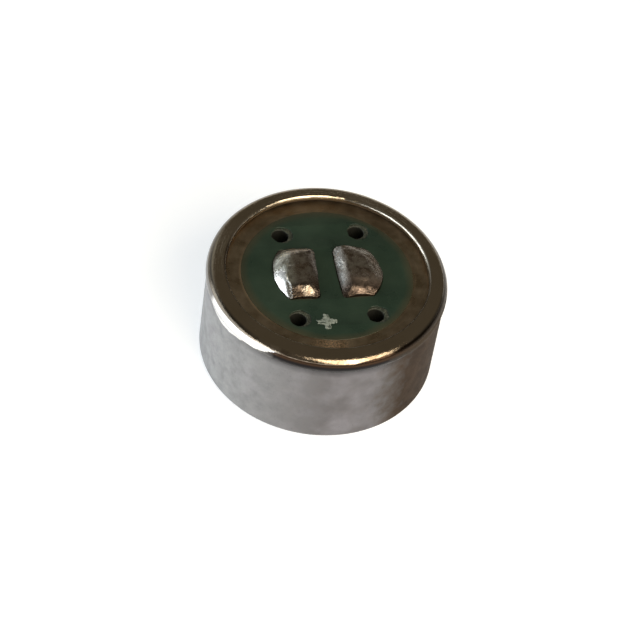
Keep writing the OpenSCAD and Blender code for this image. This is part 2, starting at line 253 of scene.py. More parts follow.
def sound_hole_pins():
    """The seven punches, flared where the punch pulls the sheet in at the outer face."""
    section = [(0, -punch_flare), (sound_hole_r + 2 * punch_flare, -punch_flare)]
    section += arc((sound_hole_r + punch_flare, punch_flare), punch_flare, 270, 180, 6)
    section += [(sound_hole_r, 2 * sheet_t), (0, 2 * sheet_t)]
    punches = bmesh.new()
    places = [Vector()]
    for k in range(sound_hole_count):
        turn = full_turn * k / sound_hole_count
        places.append(Vector((math.cos(turn), math.sin(turn), 0)) * sound_hole_ring_r)
    for place in places:
        pin = lathe(section, punch_steps)
        bmesh.ops.translate(pin, verts=pin.verts, vec=place)
        add_shape(punches, pin)
    return made_object("punches", punches)


def worked_out_mesh(thing):
    """A new mesh of an object, with its modifiers or its curve worked out."""
    seen = thing.evaluated_get(bpy.context.evaluated_depsgraph_get())
    return bpy.data.meshes.new_from_object(seen)


def is_output(value):
    """Whether a value is a node's output, and not a plain number or colour."""
    return isinstance(value, bpy.types.NodeSocket)


def add_node(kind, inputs, tree=None, **options):
    """Adds a shader node to the tree of the outputs that feed it, and sets its options and its other
    inputs. Only a node that no output feeds has to be given its tree."""
    tree = tree or next(value for value in inputs.values() if is_output(value)).id_data
    node = tree.nodes.new(kind)
    for key, value in options.items():
        setattr(node, key, value)
    for key, value in inputs.items():
        if is_output(value):
            tree.links.new(value, node.inputs[key])
        else:
            node.inputs[key].default_value = value
    return node


def new_finish(name, color, roughness, metallic=0.0, **sockets):
    """A principled material with its plain values set. Returns it with an output that tells where
    a point lies in the capsule, in metres."""
    finish = bpy.data.materials.new(name)
    finish.use_nodes = True
    shader = finish.node_tree.nodes["Principled BSDF"]
    shader.inputs["Base Color"].default_value = (*color, 1)
    shader.inputs["Roughness"].default_value = roughness
    shader.inputs["Metallic"].default_value = metallic
    for socket, value in sockets.items():
        shader.inputs[socket.replace("_", " ")].default_value = value
    return finish, add_node("ShaderNodeTexCoord", {}, finish.node_tree).outputs["Object"]


def wired(finish, color, **outputs):
    """Joins a colour and other outputs to the finish's shader, and returns the finish."""
    tree = finish.node_tree
    shader = tree.nodes["Principled BSDF"]
    tree.links.new(color, shader.inputs["Base Color"])
    for socket, output in outputs.items():
        tree.links.new(output, shader.inputs[socket])
    return finish


def maths(operation, *values):
    """One step of arithmetic between outputs or numbers."""
    return add_node("ShaderNodeMath", dict(enumerate(values)), operation=operation).outputs[0]


plus = partial(maths, "ADD")
minus = partial(maths, "SUBTRACT")
larger = partial(maths, "MAXIMUM")


def times(*values):
    """The product of outputs or numbers."""
    return reduce(partial(maths, "MULTIPLY"), values)


def vector_maths(operation, *values):
    """One step of arithmetic between vectors. Its outputs are a vector and a value."""
    return add_node("ShaderNodeVectorMath", dict(enumerate(values)), operation=operation).outputs


def off_axis(place):
    """A point's offset from the capsule's axis, without its height."""
    return vector_maths("MULTIPLY", place, (1, 1, 0))["Vector"]


def axis_distance(place):
    """How far a point lies from the capsule's axis, in metres."""
    return vector_maths("LENGTH", off_axis(place))["Value"]


def facing(place, azimuth):
    """How far a point lies towards a direction about the axis, from 1 to -1 on the far side. The
    azimuth runs in degrees from -Y towards +X."""
    outward = vector_maths("NORMALIZE", off_axis(place))["Vector"]
    turn = math.radians(azimuth)
    return vector_maths("DOT_PRODUCT", outward, (math.sin(turn), -math.cos(turn), 0))["Value"]


def scaled_place(place, along, across):
    """Coordinates for streaks that run round the capsule: slow along them and quick across."""
    axes = add_node("ShaderNodeSeparateXYZ", {0: place}).outputs
    height = plus(axis_distance(place), axes[2])
    streaked = {0: times(axes[0], along), 1: times(axes[1], along), 2: times(height, across)}
    return add_node("ShaderNodeCombineXYZ", streaked).outputs[0]


def grain(place, size, detail=4.0, rough=0.6):
    """Soft noise with features of about the given size in metres."""
    inputs = {"Vector": place, "Scale": 1 / size, "Detail": detail, "Roughness": rough}
    return add_node("ShaderNodeTexNoise", inputs).outputs["Fac"]


def remap(value, low, high, new_low=0, new_high=1):
    """Maps one span of values to another and clamps it there."""
    inputs = {0: value, 1: low, 2: high, 3: new_low, 4: new_high}
    return add_node("ShaderNodeMapRange", inputs).outputs[0]


def remap_mm(value, low, high, new_low=0, new_high=1, start=0):
    """The same for a length, whose span is given in millimetres from a start."""
    return remap(value, start + low * mm, start + high * mm, new_low, new_high)


def mix_values(share, first, second):
    """Mixes two values by a share."""
    return add_node("ShaderNodeMix", {0: share, 2: first, 3: second}).outputs[0]


def mix_colors(share, first, second):
    """Mixes two colours by a share."""
    inputs = {0: share}
    for index, color in ((6, first), (7, second)):
        inputs[index] = color if is_output(color) else (*color, 1)
    return add_node("ShaderNodeMix", inputs, data_type="RGBA").outputs[2]


def painted(base, *coats):
    """Colours laid over a base colour one after another, each by its share."""
    for share, color in coats:
        base = mix_colors(share, base, color)
    return base


def relief(*layers):
    """Raises the surface by height maps, each with its depth in millimetres."""
    normal = {}
    for height, depth in layers:
        raised = add_node("ShaderNodeBump", {"Height": height, "Distance": depth * mm, **normal})
        normal = {"Normal": raised.outputs["Normal"]}
    return normal["Normal"]


def drawn_aluminium():
    """Dull mottled wall, painted to grey off towards one side, shaded under the roll and carrying a
    painted dark brown reflection, matt there, on one side, and a burnished rim: near white where the
    tool presses hardest, partly a painted highlight, with a painted gold highlight on its near crest, a
    painted dark reflection under that and brown on the lip, whose far edge carries a painted highlight."""
    finish, place = new_finish("drawn aluminium", (0.4, 0.4, 0.41), 0.4, 1.0, Specular_IOR_Level=0.15)
    radius = axis_distance(place)
    height = add_node("ShaderNodeSeparateXYZ", {0: place}).outputs[2]
    mottle = grain(place, 0.5 * mm, 5.0, 0.62)
    clouds = grain(place, 1.5 * mm, 3.0, 0.55)
    specks = grain(place, 0.07 * mm, 3.0, 0.7)
    rolled = grain(scaled_place(place, 900, 14000), 1.0, 4.0, 0.65)
    drawn = grain(scaled_place(place, 300, 5000), 1.0, 3.0, 0.6)
    wavy = times(minus(mottle, 0.5), 0.35)

    def side(azimuth, low, high):
        """A share that grows from one closeness to a direction about the axis to another."""
        return remap(plus(facing(place, azimuth), wavy), low, high)

    def depth(low, high, new_low=0, new_high=1, of=height):
        """A share that changes between two depths under the case's top, in millimetres."""
        return remap_mm(of, -low, -high, new_low, new_high, case_top)

    ragged_radius = plus(radius, times(wavy, 2 * mm))
    # Painted shade: the wall greys off towards the side away from the window, and towards its outer edge.
    side_shade_share = times(side(75, -0.80, 0.15), remap_mm(ragged_radius, 0.5, 4.3, 0.3, 1))
    near = side(43, -0.04, 0.24)
    shadow = times(
        depth(1.0, 0.60, of=plus(height, times(wavy, 0.6 * mm))),
        plus(times(near, 0.40), 0.45),
    )
    # Painted reflection: a dark brown patch on one side of the wall and roll, which is also made matt and
    # less metallic low down.
    dark_reflection_share = times(side(80, 0.45, 0.70), side(20, 0.12, 0.50), remap_mm(ragged_radius, 3.9, 4.5))
    wall = painted(
        mill_grey,
        (side_shade_share, side_shade_grey),
        (remap(mottle, 0.3, 0.7, 0.5, 0), mottle_grey),
        (remap(clouds, 0.45, 0.7, 0, 0.3), cloud_grey),
        (remap(specks, 0.58, 0.74, 0, 0.5), speck_grey),
        (shadow, roll_shadow),
        (dark_reflection_share, mix_colors(remap(mottle, 0.35, 0.65), dark_reflection_brown, light_reflection_brown)),
    )

    # Painted reflection: on its near side the roll is coloured like the dark surroundings it would mirror.
    roll_dark_reflection = painted(low_roll_reflection, (depth(0.42, 0.32), high_roll_reflection), (side(75, 0.50, 0.80), side_roll_reflection))
    # Painted highlight: the crest is gold, broken by streaks, only on its near side where the warm lamp's
    # highlight lies.
    streaks = remap(rolled, 0.48, 0.66, 0, 0.9)
    gaps = remap(mottle, 0.46, 0.58, 0, 0.7)
    gold = mix_colors(larger(streaks, gaps), crest_highlight_gold, crest_gap)
    # Painted highlight on the lip's far inner edge, broken up by mottle.
    wear_and_highlight = times(side(163, 0.05, 0.45), remap(mottle, 0.40, 0.56, 1, 0.6), depth(0.15, 0.11))
    burr = depth(0.16, 0.11, 1, 0)
    edge = painted(
        dull_edge,
        (wear_and_highlight, mix_colors(side(112, 0.70, 0.95), far_edge_highlight, far_edge_bright_highlight)),
        (burr, burr_brown),
    )

    above_foot = maths("DIVIDE", minus(height, roll_foot_z), roll_foot_h)
    on_roll = remap(plus(above_foot, times(wavy, 3)), 0, 1)
    on_crest = depth(0.27, 0.235, of=minus(height, times(side(75, 0.30, 0.72), 0.12 * mm)))
    on_lip = depth(0.13, 0.085)
    on_edge = remap_mm(radius, 0.06, 0.12, 1, 0, lip_edge_r)

    # Burnished patch on the roll facing the window. Its near white colour is partly a painted highlight.
    near_press = facing(place, press_azimuth)
    press_low = remap(near_press, 0.84, 0.975, case_top - 0.25 * mm, case_top - 0.75 * mm)
    press_low = minus(press_low, remap(near_press, 0.975, 1.0, 0, 0.16 * mm))
    above_press = minus(minus(height, press_low), times(wavy, 0.9 * mm))
    started = remap(facing(place, press_azimuth + press_half_turn), -0.035, 0.025)
    burnished_highlight = times(remap_mm(above_press, 0, 0.04), started, remap(near_press, 0.82, 0.85))

    color = painted(
        wall,
        (on_roll, mix_colors(near, plain_roll, roll_dark_reflection)),
        (burnished_highlight, pressed_highlight_white),
        (on_crest, mix_colors(side(-5, 0.60, 0.84), crest_olive, gold)),
        (on_lip, mix_colors(clouds, lip_brown, lip_tan)),
        (times(on_edge, on_roll), edge),
    )
    matted = times(dark_reflection_share, depth(0.36, 0.24, 1, 0))
    wall_rough = remap(mottle, 0.3, 0.7, 0.58, 0.44)
    rim_rough = remap(rolled, 0.3, 0.7, 0.07, 0.17)
    rough = mix_values(larger(on_roll, burnished_highlight), wall_rough, rim_rough)
    rough = mix_values(matted, rough, 0.75)
    rough = mix_values(times(burr, on_edge), rough, 0.6)
    bumps = relief((mottle, 0.010), (specks, 0.004), (drawn, 0.003), (times(rolled, on_crest), 0.012))
    return wired(finish, color, Roughness=rough, Metallic=minus(1, matted), Normal=bumps)


case_shape = lathe(case_section(), case_steps)
ripple_rim(case_shape)
case_shell = made_object("case_shell", case_shape)
punches = sound_hole_pins()
cut = case_shell.modifiers.new("punched", "BOOLEAN")
cut.operation = "DIFFERENCE"
cut.object = punches
cut.solver = "EXACT"
punched_mesh = worked_out_mesh(case_shell)
case_shell.modifiers.clear()
case_shell.data = punched_mesh
punched_mesh.set_sharp_from_angle(angle=math.radians(crease_angle))
bpy.data.objects.remove(punches)
punched_mesh.materials.clear()
punched_mesh.materials.append(drawn_aluminium())
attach(case_shell, "root")
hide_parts("case")


# Dust cloth
# A disc of black nonwoven felt, die cut and dropped inside the front wall, which keeps dust off the
# diaphragm. It shows through the sound holes.
felt_edge = 0.03 * mm
felt_ring_w = 0.12 * mm
felt_lump = 0.35 * mm
felt_sink = 0.3
felt_steps = 144


def felt_disc(name, node, inner_r, shift):
    """A disc or ring of felt in its node's box, with soft edges and a slightly uneven face."""
    low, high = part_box(node)
    outer_r, thickness = high.x, high.z - low.z
    rings = max(4, round((outer_r - inner_r) / felt_ring_w))
    edge = min(felt_edge, thickness / 3)
    section = arc((inner_r + edge, low.z + edge), edge, 180, 270, 3) if inner_r else [(0, low.z)]
    section += stretch((inner_r + edge, low.z), (outer_r - edge, low.z), rings)
    section += arc((outer_r - edge, low.z + edge), edge, -90, 0, 3)
    section += arc((outer_r - edge, high.z - edge), edge, 0, 90, 3)
    section += stretch((outer_r - edge, high.z), (inner_r + edge, high.z), rings)
    section += arc((inner_r + edge, high.z - edge), edge, 90, 180, 3) if inner_r else [(0, high.z)]
    shape = lathe(section, felt_steps)
    middle_z = (low.z + high.z) / 2
    for vert in shape.verts:
        lump = noise.noise(vert.co / felt_lump + Vector((shift, 0, 0)))
        vert.co.z += (middle_z - vert.co.z) * felt_sink * max(0, lump)
    return made_object(name, shape, sharp_above=60)


def black_felt():
    """Matted black fibres that catch a little light."""
    finish, place = new_finish("black felt", (0.012, 0.012, 0.013), 0.95, Sheen_Weight=0.4)
    cells = {"Vector": place, "Scale": 1 / (0.045 * mm)}
    fibres = add_node("ShaderNodeTexVoronoi", cells, feature="DISTANCE_TO_EDGE").outputs["Distance"]
    matted = grain(place, 0.05 * mm, 5.0, 0.75)
    color = mix_colors(remap(matted, 0.4, 0.75), (0.007, 0.007, 0.008), (0.035, 0.034, 0.033))
    return wired(finish, color, Normal=relief((matted, 0.03), (fibres, 0.02)))


felt = black_felt()
dust_cloth = felt_disc("dust_cloth", "front_cloth", 0, 1.5)
dust_cloth.data.materials.append(felt)
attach(dust_cloth, "root")
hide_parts("front_cloth")


# Diaphragm and its ring
# A metallised plastic film is stretched over a turned brass ring and glued to it. The ring stands on
# the front wall, which joins the film to the case.


def refinish(node, finish):
    """Gives a CAD node that keeps its own mesh a better material."""
    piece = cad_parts[node]
    if piece.material_slots:
        for held in piece.material_slots:
            held.material = finish
    else:
        piece.data.materials.append(finish)


def speckled(finish, pattern, dark, light, depth, roughs=None):
    """Gives a finish two colours, a relief and a roughness that all follow one pattern."""
    outputs = {"Normal": relief((pattern, depth))}
    if roughs:
        outputs["Roughness"] = remap(pattern, 0.3, 0.7, *roughs)
    return wired(finish, mix_colors(pattern, dark, light), **outputs)


def turned_brass():
    """Brass with fine turning marks and a touch of tarnish."""
    finish, place = new_finish("turned brass", (0.62, 0.45, 0.19), 0.3, 1.0)
    marks = grain(scaled_place(place, 300, 20000), 1.0, 3.0, 0.6)
    tarnish = remap(grain(place, 0.8 * mm), 0.45, 0.75, 0, 0.6)
    color = mix_colors(tarnish, (0.66, 0.48, 0.21), (0.36, 0.22, 0.10))
    rough = remap(marks, 0.3, 0.7, 0.22, 0.42)
    return wired(finish, color, Roughness=rough, Normal=relief((marks, 0.004)))


def metallised_film():
    """A bright film with faint tension wrinkles."""
    finish, place = new_finish("metallised film", (0.82, 0.82, 0.83), 0.14, 1.0)
    wrinkles = grain(scaled_place(place, 2500, 200), 1.0, 2.0, 0.5)
    return speckled(finish, wrinkles, (0.76, 0.76, 0.78), (0.88, 0.88, 0.88), 0.003)


brass = turned_brass()
refinish("diaphragm_ring", brass)
refinish("diaphragm", metallised_film())


# Spacer and charged film
# A washer punched from clear polyester film holds the diaphragm its few hundredths of a millimetre
# off the back plate, whose face carries the permanently charged film.


def clear_film():
    """Clear film with a faint haze."""
    finish, place = new_finish("clear film", (0.86, 0.86, 0.82), 0.25, IOR=1.64)
    haze = grain(place, 0.3 * mm)
    return speckled(finish, haze, (0.80, 0.80, 0.76), (0.92, 0.92, 0.88), 0.002, (0.18, 0.34))


film = clear_film()
refinish("spacer", film)
refinish("electret_film", film)


# Back plate, insulator and gate ring
# The back plate is punched from brass sheet and sits in a moulded insulating ring. A turned brass
# ring on it presses against the board's inner copper and carries the signal to the gate.


def moulded_ivory():
    """Ivory coloured moulding with a fine spark eroded texture."""
    finish, place = new_finish("moulded ivory", (0.72, 0.66, 0.50), 0.5, IOR=1.5)
    texture = grain(place, 0.04 * mm, 3.0)
    color = mix_colors(grain(place, 1.1 * mm), (0.66, 0.60, 0.45), (0.78, 0.72, 0.57))
    rough = remap(texture, 0.3, 0.7, 0.42, 0.6)
    return wired(finish, color, Roughness=rough, Normal=relief((texture, 0.006)))


refinish("back_plate", brass)
refinish("insulator", moulded_ivory())
refinish("gate_ring", brass)


# Damping cloth
# A thicker disc of the same felt lies on the back plate inside the gate ring and slows the air that
# the vents let in behind the diaphragm.
damping_pad = felt_disc("damping_pad", "damping_cloth", 0, 4.5)
damping_pad.data.materials.append(felt)
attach(damping_pad, "root")
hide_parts("damping_cloth")


# Board
# A disc of glass and epoxy laminate, drilled with four vents for the rear sound and with two holes
# for the terminals, then routed round. The rolled lip holds it down on the insulator.
board_low, board_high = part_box("board")
vent_r = 0.35 * mm
vent_x, vent_y = 1.575 * mm, 2.275 * mm
vents = [Vector((x * vent_x, y * vent_y)) for x in (-1, 1) for y in (-1, 1)]
drill_r = 0.2 * mm
drill_x, drill_y = 1.7 * mm, -0.45 * mm
drills = [Vector((side * drill_x, drill_y)) for side in (-1, 1)]
board_edge_r = 0.02 * mm
disc_steps = 240
vent_steps = 56
drill_steps = 40
weave_pitch = 1.2 * mm
weld_gap = 1e-5 * mm
resin_brown = (0.022, 0.029, 0.021)
resin_straw = (0.045, 0.054, 0.038)
drilling_dust = (0.19, 0.205, 0.18)
# Painted shade down the vents.
vent_painted_shade = (0.009, 0.010, 0.008)


def ring_points(centre, radius, steps):
    """A closed circle as plan points."""
    turns = [full_turn * k / steps for k in range(steps)]
    return [Vector((centre.x + radius * math.cos(a), centre.y + radius * math.sin(a))) for a in turns]


def turned_way(outline, rightward):
    """The outline run clockwise or the other way, so that a plate's edge swells to its own side."""
    area = sum(p.x * q.y - q.x * p.y for p, q in zip(outline, outline[1:] + outline[:1]))
    return outline if (area < 0) == rightward else outline[::-1]


def plate(name, outer, holes, low_z, high_z, edge):
    """A flat plate from its plan, with holes, whose edges are rounded by the given radius."""
    curve = bpy.data.curves.new(name, "CURVE")
    curve.dimensions = "2D"
    curve.fill_mode = "BOTH"
    curve.extrude = (high_z - low_z) / 2 - edge
    curve.bevel_depth = edge
    curve.bevel_resolution = 2
    curve.offset = -edge
    for outline, is_hole in [(outer, False)] + [(hole, True) for hole in holes]:
        line = turned_way(outline, is_hole)
        spline = curve.splines.new("POLY")
        spline.points.add(len(line) - 1)
        for point, place in zip(spline.points, line):
            point.co = (place.x, place.y, 0, 1)
        spline.use_cyclic_u = True
    carrier = bpy.data.objects.new(name + "_plan", curve)
    bpy.context.scene.collection.objects.link(carrier)
    mesh = worked_out_mesh(carrier)
    bpy.data.objects.remove(carrier)
    shape = bmesh.new()
    shape.from_mesh(mesh)
    bpy.data.meshes.remove(mesh)
    bmesh.ops.remove_doubles(shape, verts=shape.verts, dist=weld_gap)
    bmesh.ops.recalc_face_normals(shape, faces=shape.faces)
    bmesh.ops.translate(shape, verts=shape.verts, vec=(0, 0, (low_z + high_z) / 2))
    piece = made_object(name, shape, sharp_above=50)
    flat = piece.modifiers.new("flat faces", "WEIGHTED_NORMAL")
    flat.keep_sharp = True
    return piece


def glass_laminate():
    """Dark straw coloured resin over a plain weave of glass, dusty from the drill and nearly black down
    the vents, which is painted shade."""
    finish, place = new_finish("glass laminate", (0.12, 0.12, 0.08), 0.5, IOR=1.55)
    height = add_node("ShaderNodeSeparateXYZ", {0: place}).outputs[2]
    threads = {"Vector": place, "Scale": 1 / weave_pitch, "Distortion": 1.5, "Detail": 2.0}
    cloth = times(*(
        add_node("ShaderNodeTexWave", threads, bands_direction=way).outputs["Fac"]
        for way in ("X", "Y")
    ))
    dust = grain(place, 0.06 * mm, 4.0, 0.7)
    color = painted(
        mix_colors(cloth, resin_brown, resin_straw),
        (remap(dust, 0.50, 0.68, 0, 0.7), drilling_dust),
        # Painted shade: the laminate turns nearly black below its top face, down the vents.
        (remap_mm(height, -0.05, -0.015, 1, 0, board_high.z), vent_painted_shade),
    )
    return wired(finish, color, Normal=relief((cloth, 0.01), (dust, 0.012)))


board_plate = plate(
    "board_plate",
    ring_points(Vector((0, 0)), board_high.x, disc_steps),
    [ring_points(p, vent_r, vent_steps) for p in vents]
    + [ring_points(p, drill_r, drill_steps) for p in drills],
    board_low.z, board_high.z, board_edge_r,
)
board_plate.data.materials.append(glass_laminate())
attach(board_plate, "root")
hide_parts("board")


# Outer copper
# One ring is etched round the board's edge, where the lip presses on it, with a track to the ground
# terminal. The positive terminal is an island. Both holes are plated through, and the bare copper
# has a brown bronze look from its plating and the flux.
pad_circle_r = 2.3 * mm
pad_half_len = 1.475 * mm
pad_half_gap = 0.31 * mm
pad_corner_r = 0.2 * mm
ring_inner_r = 3.4 * mm
track_half_w = 0.25 * mm
track_start_x = 0.9 * pad_circle_r
copper_low, copper_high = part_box("ground_copper")
copper_edge_r = 0.008 * mm
opening_steps = 150
lacquer_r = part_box("solder_mask")[1].x
worn_highlight_spot = (-0.5 * mm, -3.85 * mm, 0)
copper_brown = (0.30, 0.23, 0.145)
copper_tan = (0.44, 0.36, 0.26)
drag_tan = (0.60, 0.46, 0.31)
# Painted highlight: the paler line along the lacquer's edge.
border_highlight_tan = (0.80, 0.64, 0.44)
# Partly a painted highlight: the bright warm spot of wear.
worn_highlight_copper = (0.85, 0.60, 0.40)
lip_shadow = (0.035, 0.028, 0.021)
# Painted shade round the terminals.
terminal_shade_copper = (0.060, 0.048, 0.032)


def pad_outline(side):
    """A terminal's plan, run anticlockwise on the ground side: two straight edges, one arc and
    rounded corners."""
    corner = pad_corner_r
    rim_r = pad_circle_r - corner
    left, flat_y = pad_half_gap + corner, pad_half_len - corner
    meet = math.degrees(math.asin(flat_y / rim_r))
    right = rim_r * math.cos(math.radians(meet))
    points = arc((left, -flat_y), corner, 180, 270, 8)
    points += stretch(points[-1], (right, -flat_y - corner), 6)
    points += arc((right, -flat_y), corner, -90, -meet, 6)
    points += arc((0, 0), rim_r + corner, -meet, meet, 40)[1:-1]
    points += arc((right, flat_y), corner, meet, 90, 6)
    points += stretch(points[-1], (left, flat_y + corner), 6)
    points += arc((left, flat_y), corner, 90, 180, 8)
    points += stretch(points[-1], (left - corner, -flat_y), 14)
    return [Vector((side * x, y)) for x, y in points]


def ground_opening():
    """The bare area inside the ring, less the ground terminal and its track."""
    start = math.asin(track_half_w / ring_inner_r)
    sweep = full_turn - 2 * start
    turns = [start + sweep * k / opening_steps for k in range(opening_steps + 1)]
    opening = [Vector((math.cos(turn), math.sin(turn))) * ring_inner_r for turn in turns]
    pad = pad_outline(1)
    first = next(k for k, p in enumerate(pad) if p.x > track_start_x and p.y > track_half_w)
    turned = pad[first:] + pad[:first]
    on_track = [p for p in turned if p.x > track_start_x and abs(p.y) <= track_half_w]
    round_pad = [p for p in turned if p not in on_track]
    root_x = math.sqrt(pad_circle_r ** 2 - track_half_w ** 2)
    opening.append(Vector((root_x, -track_half_w)))
    opening += round_pad[::-1]
    opening.append(Vector((root_x, track_half_w)))
    return opening


def bronze_copper():
    """Etched copper with a thin brown plating, drag marks from the lip, stains, a painted highlight along
    the lacquer's edge, a spot of wear that is partly a painted highlight, a dark side under the lip and
    painted shade round the terminals."""
    finish, place = new_finish("bronze copper", (0.34, 0.27, 0.18), 0.36, 1.0)
    drag = grain(scaled_place(place, 900, 9000), 1.0, 4.0, 0.65)
    stain = grain(place, 0.7 * mm, 4.0, 0.6)
    etched = grain(place, 0.07 * mm, 3.0, 0.6)
    radius = axis_distance(place)
    # Painted highlight: a paler line along the lacquer's edge, strongest towards the near left.
    border_highlight = remap_mm(radius, 0.03, 0.11, 0.7, 0, lacquer_r)
    border_highlight = times(border_highlight, remap(facing(place, -78), 0.78, 0.95, 0.12, 1))
    # A spot of wear whose bright warm colour is partly a painted highlight of the warm lamp.
    off_spot = vector_maths("DISTANCE", off_axis(place), worn_highlight_spot)["Value"]
    wear_and_highlight = times(remap_mm(off_spot, 0.25, 1.0, 1, 0), remap(etched, 0.42, 0.62))
    far = remap(facing(place, 163), 0.30, 0.85, 0, 0.7)
    under_lip = times(remap(radius, lacquer_r, lip_edge_r, 0.5, 1), far)
    color = painted(
        mix_colors(remap(stain, 0.35, 0.65), copper_brown, copper_tan),
        (remap(drag, 0.55, 0.75, 0, 0.4), drag_tan),
        (border_highlight, border_highlight_tan),
        (wear_and_highlight, worn_highlight_copper),
        (under_lip, lip_shadow),
        # Painted shade: the copper goes nearly black round the terminals.
        (remap_mm(radius, 2.45, 2.6, 0.85, 0), terminal_shade_copper),
    )
    rough = plus(remap(stain, 0.3, 0.7, 0.24, 0.38), times(wear_and_highlight, 0.2))
    rough = plus(rough, times(under_lip, 0.4))
    return wired(finish, color, Roughness=rough, Normal=relief((drag, 0.006), (etched, 0.006)))


bronze = bronze_copper()
ground_plate = plate(
    "ground_plate",
    ring_points(Vector((0, 0)), copper_high.x, disc_steps),
    [ground_opening(), ring_points(drills[1], drill_r, drill_steps)],
    copper_low.z, copper_high.z, copper_edge_r,
)
positive_plate = plate(
    "positive_plate", pad_outline(-1), [ring_points(drills[0], drill_r, drill_steps)],
    copper_low.z, copper_high.z, copper_edge_r,
)

for piece, node in ((ground_plate, "ground_copper"), (positive_plate, "positive_pad")):
    piece.data.materials.append(bronze)
    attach(piece, "root")
    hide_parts(node)
refinish("plated_holes", bronze)


# Solder mask
# Dark green lacquer is printed over the board and cured, and stops short of the ring, the vents and
# the terminals. It is a hair off its place, so more bare board shows on one side of each vent.
mask_top_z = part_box("solder_mask")[1].z
vent_bare = 0.09 * mm
vent_run = 0.045 * mm
vent_run_size = 0.22 * mm
vent_edge_steps = 72
terminal_run = 0.02
terminal_run_size = 0.4 * mm
mask_shift = Vector((0.10, 0.01)) * mm
printed_over = {
    -1: ((-1, 0, 0.12), (0, -1, 0.13), (0.6, -0.8, 0.04), (1, 0, 0.08)),
    1: ((-1, 0, 0.07), (0, -1, 0.14), (0, 1, 0.09), (0.6, 0.8, 0.05), (1, 0, 0.02)),
}
mask_edge_r = 0.014 * mm
deep_green = (0.015, 0.032, 0.023)
light_green = (0.025, 0.048, 0.034)
thin_olive = (0.050, 0.044, 0.026)
dust_grey = (0.10, 0.12, 0.10)


def terminal_opening(side, drawn_in=0.0):
    """The lacquer's opening over a terminal, and its middle. In a few directions the lacquer was
    printed over the copper's edge, by a share of the way to the middle."""
    pad = pad_outline(side)
    middle = sum(pad, Vector((0, 0))) / len(pad)
    line = []
    for point in pad:
        way = (point - middle).normalized()
        run = noise.noise(point.to_3d() / terminal_run_size)
        share = drawn_in + terminal_run * run
        for way_x, way_y, over in printed_over[side]:
            share += over * max(0, way.dot(Vector((way_x, way_y)))) ** 2
        line.append(point.lerp(middle, share))
    return line, middle


def uneven_ring(centre, radius):
    """The lacquer's edge round a vent, which ran a little before it cured."""
    line = ring_points(centre, radius, vent_edge_steps)
    runs = [noise.noise(p.to_3d() / vent_run_size) for p in line]
    return [p + (p - centre).normalized() * vent_run * run for p, run in zip(line, runs)]


def green_lacquer():
    """Dark green lacquer, glossy and a little uneven, olive where it thins out at its edge."""
    finish, place = new_finish("green lacquer", (0.020, 0.040, 0.028), 0.32, IOR=1.5)
    flow = grain(place, 1.6 * mm, 3.0, 0.5)
    orange_peel = grain(place, 0.14 * mm, 2.0, 0.5)
    dust = grain(place, 0.05 * mm, 3.0, 0.7)
    uneven = plus(axis_distance(place), times(flow, 0.4 * mm))
    color = painted(
        mix_colors(remap(flow, 0.35, 0.65), deep_green, light_green),
        (remap_mm(uneven, -0.15, 0.2, 0, 0.7, lacquer_r), thin_olive),
        (remap(dust, 0.62, 0.8, 0, 0.4), dust_grey),
    )
    rough = remap(flow, 0.3, 0.7, 0.24, 0.42)
    return wired(finish, color, Roughness=rough, Normal=relief((flow, 0.02), (orange_peel, 0.004)))


lacquer = green_lacquer()
mask_plate = plate(
    "mask_plate",
    ring_points(Vector((0, 0)), lacquer_r, disc_steps),
    [uneven_ring(p + mask_shift, vent_r + vent_bare) for p in vents]
    + [terminal_opening(side)[0] for side in (-1, 1)],
    board_high.z, mask_top_z, mask_edge_r,
)

mask_plate.data.materials.append(lacquer)
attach(mask_plate, "root")
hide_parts("solder_mask")


# Polarity mark
# A plus in white ink is screen printed beside the positive terminal. The print is thick, ragged at
# its edges and partly rubbed off.
mark_low, mark_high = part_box("polarity_mark")
mark_centre = ((mark_low + mark_high) / 2).xy
mark_half_len = (mark_high.x - mark_low.x) / 2
mark_half_stroke = 0.145 * mm
mark_ragged = 0.07 * mm
mark_edge_r = 0.007 * mm
arm_taper = 0.65
tear_step = 0.03 * mm
tear_size = 0.11 * mm
fray_size = 0.045 * mm
torn_levels = (8.62, 17.18)
thin_ink = (0.25, 0.30, 0.285)
rubbed_through = (0.03, 0.05, 0.042)
thick_ink = (0.38, 0.43, 0.42)


def ragged_plus():
    """The plus's outline with narrowing arms and torn edges."""
    long, short, narrow = mark_half_len - mark_ragged, mark_half_stroke, mark_half_stroke * arm_taper
    corners = []
    for turn in range(4):
        way = Matrix.Rotation(turn * math.pi / 2, 2)
        corners += [way @ Vector(p) for p in ((short, short), (narrow, long), (-narrow, long))]
    outline = []
    for start, end in zip(corners, corners[1:] + corners[:1]):
        steps = max(3, round((end - start).length / tear_step))
        for k in range(steps):
            point = start.lerp(end, k / steps)
            torn = []
            for level in torn_levels:
                tear = noise.noise(point.to_3d() / tear_size + Vector((0, 0, level)))
                fray = noise.noise(point.to_3d() / fray_size + Vector((0, 0, level + 4)))
                torn.append(tear * 0.8 + fray * 0.22)
            outline.append(mark_centre + point + Vector(torn) * mark_ragged)
    return outline


def printed_white():
    """White ink, rubbed through to the lacquer in spots."""
    finish, place = new_finish("printed white", (0.42, 0.46, 0.41), 0.7)
    rubbed = grain(place, 0.11 * mm, 4.0, 0.7)
    clumps = grain(place, 0.05 * mm, 2.0, 0.6)
    color = painted(
        thin_ink,
        (remap(rubbed, 0.48, 0.60, 0, 0.95), rubbed_through),
        (remap(clumps, 0.56, 0.7, 0, 0.7), thick_ink),
    )
    return wired(finish, color, Normal=relief((rubbed, 0.02), (clumps, 0.01)))


plus_mark = plate("plus_mark", ragged_plus(), [], mark_low.z, mark_high.z, mark_edge_r)

